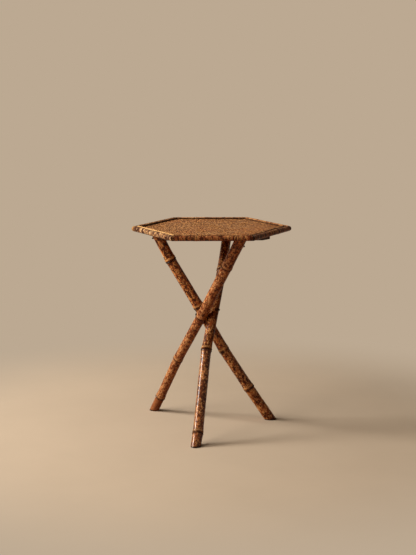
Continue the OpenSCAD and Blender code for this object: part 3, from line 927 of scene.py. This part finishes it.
bead = {
    "wide": 0.008, "tall": 0.007, "gap": 0.0004, "clear": 0.0001, "arc": 22, "arcPast": 0.06,
    "seed": 77, "markShift": 0.013, "jointDark": 0.4,
    "mitreBlend": 0.02, "steps": 36, "jointReach": 0.005, "jointStep": 0.0008,
    # the split cane is round above this height, swells at its joints and is a little thinner between
    "straight": 0.003, "swell": 0.0002, "swellWide": 0.0016, "thinner": 0.00022,
    # the last two: painted shade darkens the bead towards its foot, where it meets the matting
    "wave": 0.0001, "waveLength": 0.03, "grimeFrom": 0.0060, "grimeOver": 0.0022,
    # joints: metres from the middle of the side
    "joints": {"front": (-0.031,), "front_right": (0.052, -0.06), "back_right": (0.01,),
               "back": (-0.07, 0.05), "back_left": (0.03,), "front_left": (-0.045, 0.062)},
    "burn": {"front": 0.5, "front_right": 0.5, "back_right": 0.42, "back": 0.52, "back_left": 0.35,
             "front_left": 0.15},
    "tones": {"front_left": {
        "gold": tone(232, 184, 120), "tan": tone(214, 162, 100), "brown": tone(150, 96, 54)}},
}


def makeBead(side, turn):
    radius = bead["wide"] / 2
    axisOut = rim["out"] - rim["wide"] / 2 - rim["flat"] - bead["clear"] - radius
    half = (axisOut - bead["gap"]) * slant
    joints = np.array(bead["joints"][side])
    wave = wobble(bead["seed"] + turn)
    steps = sideRows(half, joints, bead, (-half, half))
    arc = np.linspace(-bead["arcPast"], math.pi + bead["arcPast"], bead["arc"])
    profileX = np.concatenate([[radius], np.cos(arc) * radius, [-radius]])
    profileZ = np.concatenate([[0.0], np.sin(arc) * radius + bead["tall"] - radius, [0.0]])
    angle = np.arctan2(profileZ - bead["straight"], profileX)
    skin = {}
    for s in steps:
        nearest = joints[np.abs(joints - s).argmin()]
        swell = bead["swell"] * math.exp(-((s - nearest) / bead["swellWide"]) ** 2) - bead["thinner"]
        lift = swell + bead["wave"] * wave(s, angle, bead["waveLength"])
        z = np.where(profileZ > bead["straight"], profileZ + lift, profileZ)
        end = half - abs(s)
        along = mitred(s, profileX, end, bead["mitreBlend"])
        addRow(skin, alongSide(turn, axisOut + profileX, along, boardTop + z),
               stem=np.stack([profileX + turn * bead["markShift"], z, along], 1),
               fromJoint=along - nearest, jointDark=bead["jointDark"], fromEnd=end, worn=0.0,
               # painted shade at the bead's foot, where it meets the matting
               grime=np.clip((bead["grimeFrom"] - z) / bead["grimeOver"], 0.0, 1.0))
    look = dict(beadLook, burn=bead["burn"][side], **bead["tones"].get(side, {}))
    made = makeSkin("bead_" + side + "_cane", skin, ringFaces(len(steps), len(profileX)),
                    [makeCaneMaterial("split_bead_" + side, look)])
    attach(made, "root")
    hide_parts("bead_" + side)


for side, turn in sideTurns.items():
    makeRimCane(side, turn)
    makeBead(side, turn)
print("rim canes and beads made")


# matting: a real relief of crossing strands on a fine grid
matting = {"strand": 0.0036, "grid": 0.0013, "lift": 0.00020, "crown": 0.00024,
           # the strands sway in a few slow waves, and are counted from outside the sheet
           "sway": 0.175, "waves": 6, "seed": 5, "count": 200.5}


def strandRelief(along, across, way):
    # one set of strands: each goes up and down along its way and is round across it
    place = np.floor(across)
    over = np.cos(math.pi * (along - 0.5)) * (1 - 2 * (place % 2)) * way
    return matting["lift"] * over + matting["crown"] * (1 - (2 * (across - place) - 1) ** 2)


def makeMatting():
    edge = (mattingHigh.y - mattingLow.y) / 2
    corner = edge / flatShare
    columns, rows = [int(2 * size / matting["grid"]) + 1 for size in (corner, edge)]
    ys = np.linspace(-edge, edge, rows)
    # rows follow the slanted sides, so the outline stays straight
    halfRow = corner - np.abs(ys) * slant
    x = np.linspace(-1, 1, columns)[None, :] * halfRow[:, None]
    y = np.repeat(ys[:, None], columns, 1)
    rng = random.Random(matting["seed"])
    u, v = x / matting["strand"] + matting["count"], y / matting["strand"] + matting["count"]
    for _ in range(matting["waves"]):
        a, b, p, q = rng.uniform(6, 26), rng.uniform(6, 26), rng.uniform(0, 6.3), rng.uniform(0, 6.3)
        u = u + matting["sway"] * np.sin(a * y + b * x * 0.5 + p)
        v = v + matting["sway"] * np.sin(b * x + a * y * 0.5 + q)
    relief = np.maximum(strandRelief(u, v, 1), strandRelief(v, u, -1))
    top = mattingHigh.z - (matting["lift"] + matting["crown"])
    places = np.stack([x + middle.x, y + middle.y, top + relief], -1).reshape(-1, 3)
    index = np.arange(len(places)).reshape(rows, columns)
    quads = np.stack([index[:-1, :-1], index[:-1, 1:], index[1:, 1:], index[1:, :-1]], -1).reshape(-1, 4)
    # a skirt goes down to the boards all round
    border = np.concatenate([index[0, :-1], index[:-1, -1], index[-1, ::-1][:-1], index[::-1, 0][:-1]])
    below = len(places) + np.arange(len(border))
    quads = np.concatenate([quads, np.stack([border, below, np.roll(below, -1), np.roll(border, -1)], -1)])
    skirt = places[border].copy()
    skirt[:, 2] = boardTop
    places = np.concatenate([places, skirt])
    weave = np.stack([u, v, np.zeros_like(u)], -1).reshape(-1, 3)
    weave = np.concatenate([weave, weave[border]])
    faces = [tuple(q) for q in quads.tolist()] + [tuple(reversed(below.tolist()))]
    made = makeObject("matting_weave", places, faces, [mattingMaterial],
                      {"weave": weave, "stem": places - np.array(middle)}, 80.0)
    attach(made, "root")
    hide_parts("matting")


makeMatting()
print("matting woven")


# floor, background and light
setting = {"wall": tone(188, 169, 146), "floor": tone(196, 177, 154), "bounce": tone(146, 102, 66),
           "floorSize": 9.0, "fadeFrom": 0.55, "fadeTo": 1.3,
           "fill": (1.0, 0.74, 0.5, 1.0), "fillPower": 0.06}


def seeingRay(tree):
    # 1 where the camera looks, also in a reflection or through something clear
    rays = addNode("LightPath", tree=tree)
    indirect = calc("MAXIMUM", rays["Is Glossy Ray"], rays["Is Transmission Ray"])
    return calc("MAXIMUM", rays["Is Camera Ray"], indirect)


def makeFloor():
    mesh = bpy.data.meshes.new("floor")
    size = setting["floorSize"]
    corners = [(-size, -size, 0), (size, -size, 0), (size, size, 0), (-size, size, 0)]
    mesh.from_pydata(corners, [], [(0, 1, 2, 3)])
    floor = putIn("floor", mesh)
    material, tree, shader = startMaterial("plain_floor")
    place = addNode("NewGeometry", tree=tree)["Position"]
    sees = seeingRay(tree)
    grain = between(noise(place, 3.0, 4.0, 0.6), 0.3, 0.7)
    darker = tuple(c * 0.96 for c in setting["floor"][:3]) + (1.0,)
    shade = mixColour(grain, setting["floor"], darker)
    # it looks pale, but throws back only what a wooden floor would
    feedAll(shader, {
        "Base Color": mixColour(sees, setting["bounce"], shade), "Specular IOR Level": 0.05,
        "Roughness": between(noise(place, 8.0), 0.3, 0.7, 0.8, 0.9)})
    # far from the table the camera sees the plain background in place of the floor
    away = vectorCalc("LENGTH", place)
    far = times(between(away, setting["fadeFrom"], setting["fadeTo"]), sees)
    glow = addNode("Emission", {"Color": setting["wall"]}, tree)[0]
    shown = mixShader(far, shader.outputs[0], glow)
    # from underneath the floor is open, so that the table can be looked at from below
    below = addNode("NewGeometry", tree=tree)["Backfacing"]
    opened = mixShader(below, shown, addNode("BsdfTransparent", tree=tree)[0])
    tree.links.new(opened, findNode(tree, "OUTPUT_MATERIAL").inputs["Surface"])
    mesh.materials.append(material)


def makeWorld():
    world = bpy.data.worlds.new("studio")
    bpy.context.scene.world = world
    world.use_nodes = True
    tree = world.node_tree
    fill = addNode("Background", {"Color": setting["fill"], "Strength": setting["fillPower"]}, tree)[0]
    seen = addNode("Background", {"Color": setting["wall"]}, tree)[0]
    lit = mixShader(seeingRay(tree), fill, seen)
    tree.links.new(lit, findNode(tree, "OUTPUT_WORLD").inputs["Surface"])


lamps = {
    "window": {"place": (-4.09, 0.40, 2.61), "aim": (0.0, 0.0, 0.35), "size": (1.5, 1.35), "power": 205.0,
               "tint": (1.0, 0.97, 0.92)},
    "side": {"place": (-4.25, -1.72, 2.95), "aim": (0.0, 0.0, 0.35), "size": (4.3, 3.2), "power": 262.0,
             "tint": (1.0, 0.91, 0.82)},
    "ceiling": {"place": (-0.9, -1.6, 4.5), "aim": (0.0, 0.0, 0.4), "size": (4.0, 4.0), "power": 20.0,
                "tint": (1.0, 0.9, 0.78)},
}


def makeLamp(name, lamp):
    data = bpy.data.lights.new(name, "AREA")
    data.shape = "RECTANGLE"
    data.size, data.size_y = lamp["size"]
    data.energy = lamp["power"]
    data.color = lamp["tint"]
    light = putIn(name, data)
    light.location = lamp["place"]
    light.rotation_euler = (Vector(lamp["aim"]) - Vector(lamp["place"])).to_track_quat("-Z", "Y").to_euler()
    light.visible_glossy = name == "window"     # the one that shows as a streak in the varnish


view = {"place": (-0.0702, -4.1055, 1.1808), "down": 10.0, "right": 0.826, "lens": 90.81, "sensor": 36.0,
        "near": 0.05, "far": 100.0}


def aimCamera():
    data = bpy.data.cameras.new("camera")
    data.lens = view["lens"]
    data.sensor_width = view["sensor"]
    data.clip_start = view["near"]
    data.clip_end = view["far"]
    camera = putIn("camera", data)
    camera.location = view["place"]
    camera.rotation_euler = (math.radians(90 - view["down"]), 0.0, math.radians(-view["right"]))
    bpy.context.scene.camera = camera


makeFloor()
makeWorld()
for name, lamp in lamps.items():
    makeLamp(name, lamp)
aimCamera()
bpy.context.scene.view_settings.view_transform = "Standard"
print("floor, lamps and camera set")
